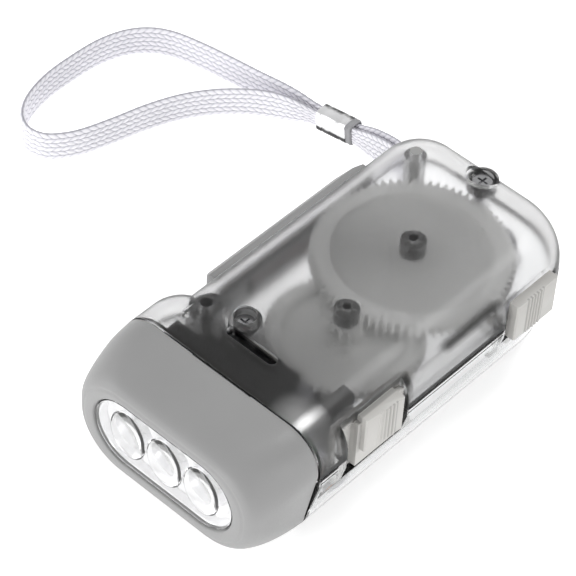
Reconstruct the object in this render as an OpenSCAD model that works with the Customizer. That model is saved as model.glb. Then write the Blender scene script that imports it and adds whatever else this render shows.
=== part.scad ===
// Squeeze-lever dynamo flashlight. Units: millimetres.
// Lens towards -Y, switch side towards +X, lever side towards -X, +Z up from the resting face.

/* [Body] */
// Length from the front rim of the head to the tail
body_l = 94.2; // [93.6:0.1:104]
// Width of the head and of the body at the seam
body_w = 49; // [48.8:0.1:54]
// Thickness from the resting face to the top face
body_h = 27; // [26.8:0.1:30]
// Wall thickness of the clear shells
wall = 1.6; // [1.2:0.1:1.7]
// Height of the parting line between the shells
part_z = 17; // [16.9:0.1:17.6]
// Radius of the top edge, all round
top_r = 8; // [6.5:0.1:8.2]
// Radius of the bottom edge, all round
bottom_r = 5.5; // [4.5:0.1:6]
// How far the lower side leans in
side_draft = 2.4; // [1.4:0.1:2.6]
// Plan radius of the tail corner on the switch side
tail_r_switch = 15.5; // [12:0.5:18]
// Plan radius of the tail corner on the strap side
tail_r_strap = 9.8; // [8.5:0.1:10]
// Inset of the lever side, where the lever lies
lever_inset = 3.5; // [3.3:0.1:3.8]

/* [Head] */
// Length of the head from rim to seam
head_l = 15.7; // [15:0.1:17]
// Wall thickness of the head
head_wall = 1.8; // [1.5:0.1:2]
// Length of the spigot that carries the head
spigot_l = 3.3; // [2.5:0.1:3.5]
// From the side of the head to the visible lens
lens_side = 7.1; // [6.8:0.1:8]
// From the lower or upper side of the head to the visible lens, on average
lens_rim = 5.5; // [5.3:0.1:6]
// How far the lens sits above the middle of the head
lens_rise = 0.7; // [0.5:0.1:0.9]
// Distance between neighbouring LEDs
led_pitch = 9.3; // [9:0.1:9.6]
// Diameter of one LED
led_d = 5; // [4.8:0.1:5]
// Thickness of the circuit board
board_t = 1.2; // [0.8:0.1:1.6]

/* [Gear train] */
// Teeth of the drive gear
drive_teeth = 78; // [76:1:78]
// Teeth of the pinion on the step gear
step_pinion_teeth = 12; // [12:1:13]
// Teeth of the step gear
step_teeth = 60; // [56:1:60]
// Teeth of the clutch pinion
clutch_teeth = 10; // [10:1:11]
// Teeth of a full circle of the lever sector
sector_teeth = 98; // [97:1:98]
// Teeth of the pinion on the drive gear
sector_pinion_teeth = 10; // [10:1:11]
// Thickness of the drive gear's rim
drive_t = 2.4; // [2:0.1:2.6]
// Thickness of the step gear's disc
step_t = 2; // [1.6:0.1:2.2]
// Play between meshing teeth, along the pitch circle
backlash = 0.12; // [0.08:0.01:0.16]
// Diameter of the drive gear's axle
drive_axle_d = 2; // [1.6:0.1:2.2]
// Diameter of the step gear's axle
step_axle_d = 1.6; // [1.2:0.1:1.8]
// Thickness of the lever sector
sector_t = 3; // [2.4:0.1:3]
// From the outside of the lever side to the drive gear's teeth
gear_side = 2.65; // [2.5:0.05:2.7]
// Clearance between the drive gear's teeth and the tail screw's boss
gear_tail = 0.4; // [0.3:0.1:0.6]
// Clearance between the flywheel and the flange of the power switch
rotor_side = 1.5; // [1.2:0.1:2]
// Room between the circuit board and the flywheel
rotor_front = 5.2; // [4.8:0.1:5.3]
// Diameter of the rotor's axle
rotor_axle_d = 1.5; // [1.2:0.1:1.6]
// Radial clearance of a running bore
run_gap = 0.05; // [0.03:0.01:0.08]

/* [Generator] */
// Diameter of the flywheel
flywheel_d = 20; // [18:0.1:20.4]
// Radius of the recess for the pawls
recess_r = 6; // [5.6:0.1:6.4]
// Outer diameter of the ring magnet
magnet_d = 16.8; // [15:0.1:17]
// Clearance over the flywheel
flywheel_top = 2.1; // [1.9:0.1:2.6]

/* [Lever] */
// Thickness of the grip
grip_t = 3.1; // [2.6:0.1:3.2]
// Height of the lower edge of the grip
grip_z0 = 6.6; // [6:0.1:7]
// Height of the upper edge of the grip
grip_z1 = 19.8; // [19:0.1:20.2]
// Diameter of the lever's hub
hub_d = 8; // [7:0.1:8.2]
// Diameter of the pivot pin
pivot_d = 2.5; // [2:0.1:3]

/* [Switches] */
// Travel of the power switch, towards the head
power_travel = 3.2; // [2.5:0.1:3.4]
// Travel of the lever lock, towards the head
lock_travel = 1.5; // [1.2:0.1:1.6]
// How far the power knob stands out past the side
power_proud = 1.2; // [0.8:0.1:2]
// How far the lock knob stands out past the side
lock_proud = 1.1; // [0.8:0.1:1.5]
// Gap around sliding pieces
slide_gap = 0.3; // [0.2:0.05:0.35]

/* [Cells] */
// Diameter of one button cell
cell_d = 11.6; // [11:0.1:11.6]
// Clearance between the cells and the drive gear
cell_top = 1.2; // [1:0.1:2]
// Number of button cells
cell_count = 3; // [3:1:3]

/* [Strap] */
// Width of the woven band
strap_w = 7.2; // [5:0.1:7.4]
// Thickness of the woven band
strap_t = 1.3; // [1:0.1:1.4]
// Length of the metal ferrule
ferrule_l = 7.8; // [6:0.1:9]
// Height of the metal ferrule
ferrule_h = 5.2; // [5:0.1:6]
// Height of the band's middle line inside the body
strap_z = 11.6; // [11.5:0.1:11.7]
// Width of the opening for the band
strap_slot = 5.2; // [5:0.1:5.4]
// Diameter of the strap pin
strap_pin_d = 2.4; // [2:0.1:2.6]

/* [Hidden] */
$fn = 48;
eps = 0.01;

// Body planes
front_y = -49.2;
tail_y = front_y + body_l;
seam_y = front_y + head_l;
right_x = body_w / 2;
left_x = -body_w / 2;
inset_x = left_x + lever_inset;
draft_z1 = body_h - 12;
draft_z0 = bottom_r;
top_c = body_h - top_r;
bottom_c = side_draft + bottom_r;
floor_z = wall;
ceiling_z = body_h - wall;
shoulder_r = top_r + 0.5;
shoulder_y = seam_y + 6;

// Closed slot in the top face, behind the head
slot_c = [-1, seam_y + 8.8];
slot_l = 12.2;
slot_w = 2.4;
slot_depth = 2.2;

// Levels of the gear train
drive_z1 = body_h - 5;
drive_z0 = drive_z1 - drive_t;
step_z1 = drive_z0 - 1.2;
step_z0 = step_z1 - step_t;
sector_z1 = step_z0 - 1.4;
sector_z0 = sector_z1 - sector_t;
pinion_z0 = sector_z0 - 0.4;

// Switch window, lock pocket and their pieces, across the body
pocket_x = right_x - 2.5;
flange_x1 = pocket_x - 0.4;
flange_x0 = flange_x1 - 1.2;
lock_pocket_x = right_x - 1.4;
lock_pad_x = lock_pocket_x - 1.15;

// The tail screw and the generator's front end bound the gear train
screw_rear = [0, tail_y - 4.8];
screw_core_r = 2.2;
spigot_y = seam_y - spigot_l;
board_y1 = spigot_y - 0.1;

// Modules: the largest, in steps of a hundredth, that fit across the body and along it
step_dir = -82.6;
tip_add = 0.95;
train_x = lock_pad_x - 0.3 - inset_x - gear_side;
train_y = screw_rear[1] - screw_core_r - gear_tail - board_y1 - rotor_front - flywheel_d / 2;
train_teeth = drive_teeth / 2 + tip_add - (drive_teeth + step_pinion_teeth) / 2 * sin(step_dir)
    + (step_teeth + clutch_teeth) / 2 * 0.966;
gear_m = floor(100 * min(train_x / (drive_teeth + 2 * tip_add), train_y / train_teeth)) / 100;
sector_m = 1.6 * gear_m;
drive_r = (drive_teeth / 2 + tip_add) * gear_m;

// Axes, each from the one before it
drive_c = [inset_x + gear_side + drive_r, screw_rear[1] - screw_core_r - gear_tail - drive_r];
step_dist = (drive_teeth + step_pinion_teeth) * gear_m / 2;
step_c = drive_c + step_dist * [cos(step_dir), sin(step_dir)];
rotor_dist = (step_teeth + clutch_teeth) * gear_m / 2;
rotor_x = flange_x0 - rotor_side - flywheel_d / 2;
rotor_dir = -acos((rotor_x - step_c[0]) / rotor_dist);
rotor_c = step_c + rotor_dist * [cos(rotor_dir), sin(rotor_dir)];
pivot_dist = (sector_teeth + sector_pinion_teeth) * sector_m / 2;
pivot_dir = 247.6;
pivot_c = drive_c + pivot_dist * [cos(pivot_dir), sin(pivot_dir)];
sector_r = sector_teeth * sector_m / 2;

// Screws, pins and cells
screw_front = pivot_c + gear_m * [15.6, 4.6];
screw_seat_front = body_h - 3.4;
screw_seat_rear = body_h - 3.6;
screw_ring_rear = body_h - 1.6;
screw_ring_r = 3.2;
screw_split_front = drive_z0;
screw_split_rear = drive_z1 + 0.5;
screw_bore_r = 2.3;
screw_d = 2;
strap_pin_c = [inset_x + 7.7, tail_y - 9.6];
cell_c = [8, tail_y - 12.1];
cell_z0 = floor_z + 0.6;
cell_z1 = drive_z0 - cell_top;
cell_h = (cell_z1 - cell_z0) / cell_count;
cell_ring_r = cell_d / 2 + 1.2;

// Generator levels
stator_z0 = floor_z + 0.6;
stator_z1 = stator_z0 + 1;
generator_h = step_z0 - flywheel_top - 0.5 - stator_z1;
bobbin_h = 0.36 * generator_h;
magnet_h = 0.32 * generator_h;
flywheel_t = generator_h - bobbin_h - magnet_h;
bobbin_z1 = stator_z1 + bobbin_h;
magnet_z0 = bobbin_z1 + 0.5;
magnet_z1 = magnet_z0 + magnet_h;
flywheel_z0 = magnet_z1;
flywheel_z1 = flywheel_z0 + flywheel_t;
claw_r0 = magnet_d / 2 + 0.4;
claw_r1 = claw_r0 + 0.8;

// Head planes, from the rim back
lens_half = right_x - lens_side;
lens_r = body_h / 2 - lens_rim;
lens_z = body_h / 2 + lens_rise;
lip_y = front_y + 2.25;
lens_front_y = front_y + 0.9;
lens_back_y = lip_y + 1.1;
reflector_y0 = lens_back_y + 0.2;
board_y0 = board_y1 - board_t;
led_flange_y = board_y0 - 1;
reflector_y1 = led_flange_y - 0.2;
spigot_e = head_wall + 0.4;
spigot_t = 1.2;
step_y = seam_y + 1.5;

// Switch window and lock pocket, front to rear
win_y0 = seam_y + 7.5;
win_y1 = win_y0 + 16.7;
win_z0 = 10.6;
win_z1 = drive_z1 + 0.3;
pocket_z1 = drive_z1 + 2.9;
knob_z0 = win_z0 + 4.6;
knob_z1 = body_h - 3;
knob_y1 = win_y1 - 2.6;
plate_x1 = right_x - 1.1;
plate_z1 = draft_z1 + 7.6;
knob_y0 = knob_y1 - 9.5;
lock_pocket_y0 = tail_y - 26.1;
lock_pocket_y1 = tail_y - 10.4;
lock_y0 = lock_pocket_y0 + lock_travel + slide_gap;
lock_y1 = lock_y0 + 12;
lock_z0 = 13.4;
lock_z1 = drive_z1 + 0.6;

// Lock blade and the hook it catches
blade_z0 = grip_z0 + 2;
blade_z1 = blade_z0 + 1.7;
blade_y0 = cell_c[1] - cell_ring_r - 0.3 - 2.6;
blade_y1 = blade_y0 + 2.6;
hook_y1 = blade_y0 - 2.2;
hook_y0 = hook_y1 - 2;
tab_z1 = blade_z0 - 0.4;

finger_x0 = inset_x + side_draft * (draft_z1 - blade_z0) / (draft_z1 - draft_z0) + wall + slide_gap;
finger_x1 = finger_x0 + 1.6;
hook_x0 = finger_x1 + slide_gap;
hook_x1 = hook_x0 + 1.6;
blade_posts = [-9, 15.6];
lock_plate_x1 = lock_pocket_x - 1.9;
lock_neck_y0 = lock_y0 + 3.5;
lock_neck_y1 = lock_neck_y0 + 4;
lock_neck_z0 = part_z - 2.8;

// Lever
hub_z0 = sector_z0 - 1.2;
hub_z1 = sector_z1 + 4;
grip_y0 = pivot_c[1] + 9.8;
arm_y1 = pivot_c[1] + 16.4;
grip_y1 = tail_y - 14;
pivot_boss_r = pivot_d / 2 + 1;
spring_wire = 0.7;
spring_r = pivot_boss_r + 0.2 + spring_wire / 2;
spring_z0 = hub_z0 - 5.2;
spring_pocket_r = spring_r + spring_wire / 2 + 0.25;
step_pinion_z1 = drive_z1 + 0.2;

// Switch body behind the flange of the power switch
sw_x1 = flange_x0 - 0.9;
sw_x0 = sw_x1 - 3.3;
sw_y0 = win_y0 - 0.5;
sw_y1 = sw_y0 + 8.5;
sw_z1 = drive_z1 - 2;
sw_z0 = sw_z1 - 4;

// Route of the wrist strap, [x, y, z, width]: round the pin, through the ferrule, round the loop and back
strap_pts = [[-12.4, 33.5, 11.6, 7.2], [-11.2, 34.8, 11.6, 7.2], [-11.6, 36.7, 11.6, 7.2],
             [-13.4, 38.6, 11.6, 7.2], [-15.5, 40.6, 11.5, 7.2], [-18, 43.1, 11, 7.2],
             [-22.2, 45.7, 9.9, 7.2], [-27.6, 47.5, 8.4, 6.9], [-33, 48.4, 6.9, 6.2],
             [-38, 48.9, 5.7, 4], [-42, 49, 5, 3.7], [-46, 48.7, 4.5, 3.7], [-50, 48.2, 4.3, 4.2],
             [-54, 47.6, 4.1, 6.2], [-58, 47, 3.9, 7.2], [-64, 46.2, 3.7, 7.2], [-71, 45.2, 3.7, 7.2],
             [-78.4, 44, 3.7, 7.2], [-85.4, 42.2, 3.7, 7.2], [-90, 39.4, 3.7, 7.2],
             [-93.2, 35, 3.7, 7.2], [-95, 28.8, 3.7, 7.2], [-95.4, 21, 3.7, 7.2], [-95, 13.4, 3.7, 7.2],
             [-93.2, 6.6, 3.7, 7.2], [-90.2, 2, 3.7, 7.2], [-86.4, 0, 3.7, 7.2], [-82.6, 0.8, 3.7, 7.2],
             [-79.8, 3.8, 3.7, 7.2], [-77.8, 7.8, 3.7, 7.2], [-75.8, 14.4, 3.7, 7.2],
             [-73.8, 22, 3.7, 7.2], [-71, 29.2, 3.7, 7.2], [-67.2, 35.2, 3.7, 7.2],
             [-62.4, 40.2, 3.8, 7.2], [-58, 43.2, 3.9, 7.2], [-54, 45, 4.1, 6.2], [-50, 46.3, 4.3, 4.2],
             [-46, 47, 4.5, 3.7], [-42, 47.3, 5, 3.7], [-38, 47.1, 5.7, 4], [-33, 46.5, 6.9, 6.2],
             [-27.8, 45.6, 8.4, 6.9], [-23, 43.9, 9.9, 7.2], [-19.6, 41.4, 11, 7.2],
             [-17.2, 38.6, 11.5, 7.2], [-15.6, 36.2, 11.6, 7.2], [-15.2, 34.4, 11.6, 7.2],
             [-13.9, 33.2, 11.6, 7.2]];
strap_exit_dir = 126;

// ---- helper functions ----
// Lengths on a grid of a thousandth, so that neighbouring surfaces meet
function grid(v) = round(v * 1000) / 1000;
function arc_pts(cx, cy, r, a0, a1, n) =
    [for (i = [0:n]) let (a = a0 + (a1 - a0) * i / n) [grid(cx + r * cos(a)), grid(cy + r * sin(a))]];

// Edge profile of the body at inset e: [distance in from the plan edge, height], top to bottom
function profile(e) = concat(
    arc_pts(top_r, top_c, top_r - e, 90, 180, 10),
    [[e, draft_z1]],
    arc_pts(bottom_c, draft_z0, bottom_r - e, 180, 270, 6));

function side_pts(x, s, e) = [for (p = profile(e)) [x + s * p[0], p[1]]];
function flip(v) = [for (i = [len(v) - 1:-1:0]) v[i]];
function section_pts(x0, x1, e) = concat(side_pts(x0, 1, e), flip(side_pts(x1, -1, e)));

// Involute gear outline, teeth centred on phase + k * pitch, for k from k0 to k1
function inv_deg(a) = tan(a) * 180 / PI - a;
function half_deg(m, z, r, play) =
    90 / z + inv_deg(20) - inv_deg(acos(min(1, m * z * cos(20) / 2 / r))) - play * 90 / PI / (m * z / 2);
function tooth_pts(m, z, play, add, ded) =
    let (rb = m * z * cos(20) / 2, rt = m * z / 2 + add, rr = m * z / 2 - ded, r0 = max(rb, rr))
    concat(
        [[rr, -half_deg(m, z, r0, play) - 0.5]],
        [for (i = [0:4]) let (r = r0 + (rt - r0) * i / 4) [r, -half_deg(m, z, r, play)]],
        [for (i = [4:-1:0]) let (r = r0 + (rt - r0) * i / 4) [r, half_deg(m, z, r, play)]],
        [[rr, half_deg(m, z, r0, play) + 0.5]]);
function teeth_pts(m, z, phase, k0, k1, play, add, ded) =
    [for (k = [k0:k1], p = tooth_pts(m, z, play, add, ded))
        let (a = phase + k * 360 / z + p[1]) [p[0] * cos(a), p[0] * sin(a)]];

module gear_2d(m, z, phase) {
    polygon(teeth_pts(m, z, phase, 0, z - 1, backlash, tip_add * m, 1.3 * m));
}

module at(c, z) {
    translate([c[0], c[1], z])
        children();
}

module rod(c, z0, z1, r) {
    at(c, z0)
        cylinder(h = z1 - z0, r = r);
}

module box(x0, x1, y0, y1, z0, z1) {
    translate([x0, y0, z0])
        cube([x1 - x0, y1 - y0, z1 - z0]);
}

module along_y(y0, y1) {
    translate([0, y1, 0])
        rotate([90, 0, 0])
            linear_extrude(y1 - y0)
                children();
}

// Body mass at inset e from y0 to the tail: the long part, then the wider shoulder at the head
module mass(e, y0) {
    rs = tail_r_switch;
    rl = tail_r_strap;
    along_y(y0, tail_y - rs)
        polygon(section_pts(inset_x, right_x, e));
    translate([right_x - rs, tail_y - rs, 0])
        rotate_extrude(angle = 90)
            polygon(concat([for (p = profile(e)) [rs - p[0], p[1]]], [[0, e], [0, body_h - e]]));
    translate([inset_x + rl, tail_y, 0])
        rotate([90, 0, 90])
            linear_extrude(right_x - rs - inset_x - rl)
                polygon(concat([for (p = profile(e)) [-p[0], p[1]]], [[-rs, e], [-rs, body_h - e]]));
    along_y(tail_y - rs, tail_y - rl)
        polygon(concat(side_pts(inset_x, 1, e), [[inset_x + rl, e], [inset_x + rl, body_h - e]]));
    translate([inset_x + rl, tail_y - rl, 0])
        rotate([0, 0, 90])
            rotate_extrude(angle = 90)
                polygon(concat([for (p = profile(e)) [rl - p[0], p[1]]], [[0, e], [0, body_h - e]]));
    along_y(y0, shoulder_y)
        polygon(concat(side_pts(left_x, 1, e), [[0, e], [0, body_h - e]]));
    translate([left_x + shoulder_r, shoulder_y, 0])
        rotate([0, 0, 90])
            rotate_extrude(angle = 90)
                polygon(concat([for (p = profile(e)) [shoulder_r - p[0], p[1]]], [[0, e], [0, body_h - e]]));
}

// Outside of both shells, with the spigot that the head slides over
module shell_outside() {
    mass(0, seam_y);
    along_y(spigot_y, seam_y + eps)
        polygon(section_pts(left_x, right_x, spigot_e));
}

// Hollow inside both shells
module shell_inside() {
    mass(wall, step_y);
    along_y(spigot_y - 1, step_y + eps)
        polygon(section_pts(left_x, right_x, spigot_e + spigot_t));
}

// What both shells share: thicker walls round the switch window and the lock pocket
module side_pads() {
    box(pocket_x, right_x + 1, win_y0 - 1.2, win_y1 + 1.2, win_z0 - 1.2, pocket_z1 + 0.6);
    box(pocket_x - 1.4, right_x, win_y0 - 1.2, win_y1 + 1.2, win_z1 + 0.6, pocket_z1 + 0.6);
    box(lock_pad_x, right_x + 1, lock_pocket_y0 - 1.2, lock_pocket_y1 + 1,
        lock_z0 - 1.3, lock_z1 + 1.4);
}

// Openings in the sides: switch window, lock pocket and slot, lever arm, lever tab and strap
module side_cuts() {
    box(flange_x0 - 1, right_x + 2, win_y0, win_y1, win_z0, win_z1);
    box(pocket_x, right_x + 2, win_y0, win_y1, win_z0, pocket_z1);
    box(flange_x0 - 1, flange_x1 + slide_gap, win_y0 - 1.4 - power_travel - slide_gap,
        win_y1 + power_travel + 0.1 + slide_gap, win_z0 - 0.8 - slide_gap, win_z0 + 1);
    box(lock_pocket_x, right_x + 2, lock_pocket_y0, lock_pocket_y1, lock_z0 - 0.5, lock_z1 + 0.7);
    box(lock_pocket_x - 2, right_x + 2, lock_neck_y0 - lock_travel - slide_gap, lock_neck_y1 + slide_gap,
        lock_neck_z0 - slide_gap, part_z);
    box(left_x - 2, pivot_c[0] - 2.5, pivot_c[1] - 3.1, arm_y1 + 1.5, sector_z0 - 0.5, sector_z1 + 0.5);
    box(left_x - 2, inset_x + side_draft + wall + 0.4, hook_y0 - 1.4, hook_y1 + 0.8,
        grip_z0 - 0.4, blade_z1 + 0.4);
    rod(pivot_c, hub_z0 - 0.4, part_z, hub_d / 2 + 0.5);
    at(strap_pin_c, strap_z - strap_w / 2 - 0.5)
        rotate([0, 0, strap_exit_dir])
            translate([strap_pin_d * 1.5, -strap_slot / 2, 0])
                cube([tail_r_strap + 3, strap_slot, strap_w + 1]);
}

module bottom_shell() {
    color([0.86, 0.88, 0.88, 0.6])
        difference() {
            intersection() {
                shell_outside();
                box(-body_w, body_w, spigot_y - 1, tail_y + 1, -1, part_z);
            }
            difference() {
                shell_inside();
                side_pads();
                rod(drive_c, 1, pinion_z0 - 0.3, drive_axle_d / 2 + 1.6);
                rod(step_c, 1, step_z0 - 0.3, step_axle_d / 2 + 1.2);
                rod(pivot_c, 1, hub_z0 - 0.3, pivot_boss_r);
                rod(rotor_c, 1, stator_z0, rotor_axle_d / 2 + 1.9);
                rod(screw_front, 1, screw_split_front, screw_core_r);
                rod(screw_rear, 1, screw_split_rear, screw_core_r);
                rod(strap_pin_c, 1, strap_z - strap_w / 2 - 0.6, strap_pin_d / 2 + 1.2);
                ring(rotor_c, 1, stator_z0, claw_r0 - 2, claw_r0 - 1);
                ring(cell_c, 1, cell_z1 - 4, cell_ring_r - 1, cell_ring_r);
                for (x = blade_posts)
                    box(x, x + 2, blade_y0, blade_y1, 1, blade_z0 - slide_gap);
            }
            side_cuts();
            ring(pivot_c, spring_z0, hub_z0, pivot_boss_r, spring_pocket_r);
            rod(drive_c, wall, pinion_z0, drive_axle_d / 2 + 0.02);
            rod(step_c, wall, step_z0, step_axle_d / 2 + 0.02);
            rod(pivot_c, wall, hub_z0, pivot_d / 2 + 0.02);
            rod(rotor_c, 0.8, stator_z0 + 1, rotor_axle_d / 2 + 0.02);
            rod(screw_front, wall + 1, screw_split_front + 1, screw_d / 2 + 0.02);
            rod(screw_rear, wall + 1, screw_split_rear + 1, screw_d / 2 + 0.02);
            rod(strap_pin_c, wall + 0.6, strap_z, strap_pin_d / 2 + 0.02);
        }
}

module top_shell() {
    color([0.62, 0.64, 0.65, 0.5])
        difference() {
            union() {
                difference() {
                    intersection() {
                        shell_outside();
                        box(-body_w, body_w, spigot_y - 1, tail_y + 1, part_z, body_h + 1);
                    }
                    difference() {
                        shell_inside();
                        side_pads();
                        rod(drive_c, drive_z1 + 0.3, body_h, drive_axle_d / 2 + 1.55);
                        rod(step_c, step_pinion_z1 + 0.3, body_h, step_axle_d / 2 + 1.7);
                        rod(pivot_c, hub_z1 + 0.3, body_h, pivot_d / 2 + 2.1);
                        rod(screw_front, screw_split_front, body_h, screw_ring_r);
                        rod(strap_pin_c, strap_z + strap_w / 2 + 0.7, body_h, strap_pin_d / 2 + 1);
                        at(slot_c, body_h - slot_depth - 0.8)
                            linear_extrude(slot_depth)
                                stadium(slot_l / 2 + 0.8, slot_w / 2 + 0.8);
                        box(sw_x0 + 0.3, sw_x1 - 0.3, sw_y0 + 1, sw_y1 - 1, sw_z1 + slide_gap, body_h);
                    }
                }
                rod(screw_rear, screw_split_rear, screw_ring_rear, screw_ring_r);
            }
            side_cuts();
            rod(drive_c, part_z, body_h - 0.8, drive_axle_d / 2 + 0.02);
            rod(step_c, part_z, body_h - 0.8, step_axle_d / 2 + 0.02);
            rod(pivot_c, part_z, body_h - 1.2, pivot_d / 2 + 0.02);
            rod(screw_front, part_z, body_h + 1, screw_d / 2 + 0.1);
            rod(screw_front, screw_seat_front, body_h + 1, screw_bore_r);
            rod(screw_rear, part_z, body_h + 1, screw_d / 2 + 0.1);
            rod(screw_rear, screw_seat_rear, body_h + 1, screw_bore_r);
            difference() {
                rod(screw_rear, screw_ring_rear, body_h + 1, screw_ring_r + 0.3);
                rod(screw_rear, screw_ring_rear - 1, screw_ring_rear, screw_ring_r + 1);
            }
            rod(strap_pin_c, part_z - 4, body_h + 1, strap_pin_d / 2 + 0.02);
            at(slot_c, body_h - slot_depth)
                linear_extrude(slot_depth + 1)
                    stadium(slot_l / 2, slot_w / 2);
        }
}

module ring(c, z0, z1, r0, r1) {
    at(c, z0)
        difference() {
            cylinder(h = z1 - z0, r = r1);
            translate([0, 0, -1])
                cylinder(h = z1 - z0 + 2, r = r0);
        }
}

// Flat shape with round ends: a is half the length, r half the width
module stadium(a, r) {
    square([2 * (a - r), 2 * r], center = true);
    translate([a - r, 0])
        circle(r);
    translate([r - a, 0])
        circle(r);
}

// A stadium standing across the head between two planes
module lens_form(y0, y1, a, r) {
    along_y(y0, y1)
        translate([0, lens_z])
            stadium(a, r);
}

module led_places() {
    for (k = [-1:1])
        translate([k * led_pitch, 0, lens_z])
            rotate([90, 0, 0])
                children();
}

// One flat slice of the head: y plane, half width, bottom, top and corner radius
function slice_pts(w, z0, z1, r) = concat(
    arc_pts(w - r, z0 + r, r, -90, 0, 8), arc_pts(w - r, z1 - r, r, 0, 90, 8),
    arc_pts(r - w, z1 - r, r, 90, 180, 8), arc_pts(r - w, z0 + r, r, 180, 270, 8));

// Slices from the seam to the rim: distance from the rim, side inset, bottom, top inset, corner radius
head_slices = [[11, 0.3, 0.4, 0.1, 8.3], [6.2, 1.1, 1.1, 0.5, 9.4], [3, 1.9, 1.8, 1.1, 10],
               [1.4, 2.6, 2.4, 1.7, 10], [0.5, 3.5, 3.2, 2.4, 9.6], [0, 4.5, 4.2, 3.4, 9]];

module head_form(e, y_front) {
    hull() {
        along_y(seam_y - 0.02, seam_y)
            polygon(section_pts(left_x, right_x, e));
        for (s = head_slices)
            if (front_y + s[0] > y_front + 0.4)
                along_y(front_y + s[0], front_y + s[0] + 0.02)
                    polygon(slice_pts(right_x - s[1] - e, s[2] + e, body_h - s[3] - e, s[4] - e));
        if (e > 0)
            along_y(y_front, y_front + 0.02)
                polygon(slice_pts(right_x - 2.3 - e, 2.1 + e, body_h - 1.4 - e, 10 - e));
    }
}

module head_bezel() {
    color([0.56, 0.56, 0.56])
        difference() {
            head_form(0, front_y - 1);
            head_form(head_wall, lip_y);
            along_y(seam_y - 1, seam_y + 1)
                polygon(section_pts(left_x, right_x, head_wall));
            lens_form(front_y - 1, lip_y + 1, lens_half + 0.2, lens_r + 0.2);
        }
}

module lens() {
    color([0.93, 0.95, 0.97, 0.4])
        union() {
            lens_form(lens_front_y, lip_y + 0.15, lens_half, lens_r);
            lens_form(lip_y + 0.1, lens_back_y, lens_half + 1.3, lens_r + 1.3);
            led_places()
                translate([0, 0, -lens_front_y - 6.9])
                    intersection() {
                        sphere(r = 7.7);
                        translate([0, 0, 5.8])
                            cylinder(h = 3, r = 4.4);
                    }
        }
}

module reflector() {
    color([0.85, 0.86, 0.88])
        difference() {
            lens_form(reflector_y0, reflector_y1, lens_half + 1.1, lens_r + 1.1);
            led_places() {
                translate([0, 0, -reflector_y0 - 5.6])
                    cylinder(h = 5.61, r1 = led_d / 2 + 0.3, r2 = led_pitch / 2 - 0.2);
                translate([0, 0, -reflector_y1 - 1])
                    cylinder(h = 9, r = led_d / 2 + 0.25);
            }
        }
}

module leds() {
    color([0.9, 0.92, 0.95, 0.7])
        led_places()
            translate([0, 0, -board_y0]) {
                cylinder(h = 1, r = led_d / 2 + 0.4);
                cylinder(h = 4.4, r = led_d / 2);
                translate([0, 0, 4.4])
                    sphere(r = led_d / 2);
            }
}

module circuit_board() {
    color([0.2, 0.42, 0.28])
        along_y(board_y0, board_y1)
            polygon(section_pts(left_x, right_x, head_wall + 0.8));
}

// Box without its front and lower sides, behind the upper half of the circuit board
module board_cover() {
    x0 = left_x + 7.5;
    x1 = x0 + 25;
    z1 = body_h - spigot_e - spigot_t - 0.4;
    t = 0.8;
    color([0.08, 0.08, 0.08])
        difference() {
            box(x0, x1, board_y1, seam_y + 5.8, z1 - 7, z1);
            box(x0 + t, x1 - t, board_y1 - 1, seam_y + 5.8 - t, z1 - 8, z1 - t);
        }
}

module diodes() {
    for (k = [0:3])
        color([0.85, 0.45, 0.2])
            translate([-14 + 4.2 * k, board_y1 + 1, lens_z + 3])
                rotate([0, 90, 0])
                    cylinder(h = 3.2, r = 0.9);
}

module slide_switch() {
    color([0.75, 0.76, 0.78])
        union() {
            box(sw_x0, sw_x1, sw_y0, sw_y1, sw_z0, sw_z1);
            for (k = [0:2])
                box(sw_x0 - 1.4, sw_x0 + 1, sw_y0 + 1.6 + 2.4 * k, sw_y0 + 2.2 + 2.4 * k,
                    sw_z0 + 1.8, sw_z0 + 2.1);
        }
}

module switch_stem() {
    color([0.1, 0.1, 0.1])
        box(sw_x1 + slide_gap, flange_x0, sw_y1 - 3, sw_y1 - 1.2, sw_z0 + 1.2, sw_z1 - 1.2);
}

// Plan of a finger piece: inner face, sloping outer face and a row of ridges on it
function ridged_pts(x0, xa, xb, y0, y1, yr, n, pitch, h) = concat(
    [[x0, y0], [xa - 0.3, y0], [xa, y0 + 0.3]],
    [for (k = [0:n - 1], s = [[-0.22, 0], [-0.12, h], [0.12, h], [0.22, 0]])
        let (y = yr + k * pitch + s[0]) [xa + (xb - xa) * (y - y0) / (y1 - y0) + s[1], y]],
    [[xb, y1 - 0.3], [xb - 0.3, y1], [x0, y1]]);

module power_switch() {
    color([0.8, 0.79, 0.76])
        union() {
            translate([0, 0, knob_z0])
                linear_extrude(knob_z1 - knob_z0)
                    polygon(ridged_pts(pocket_x + slide_gap, right_x + power_proud - 1, right_x + power_proud,
                                       knob_y0, knob_y1, knob_y0 + 3.4, 5, 0.9, 0.25));
            box(flange_x1 - 0.1, plate_x1, knob_y0 - 0.8, win_y1 - slide_gap, win_z0 + slide_gap,
                win_z1 - slide_gap);
            box(pocket_x + slide_gap, plate_x1, knob_y0 - 0.8, win_y1 - slide_gap, win_z0 + 2, plate_z1);
            box(flange_x0, flange_x1, win_y0 - 1.4, win_y1 + power_travel + 0.1, win_z0 - 0.8, win_z1 + 0.3);
        }
}

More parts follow.
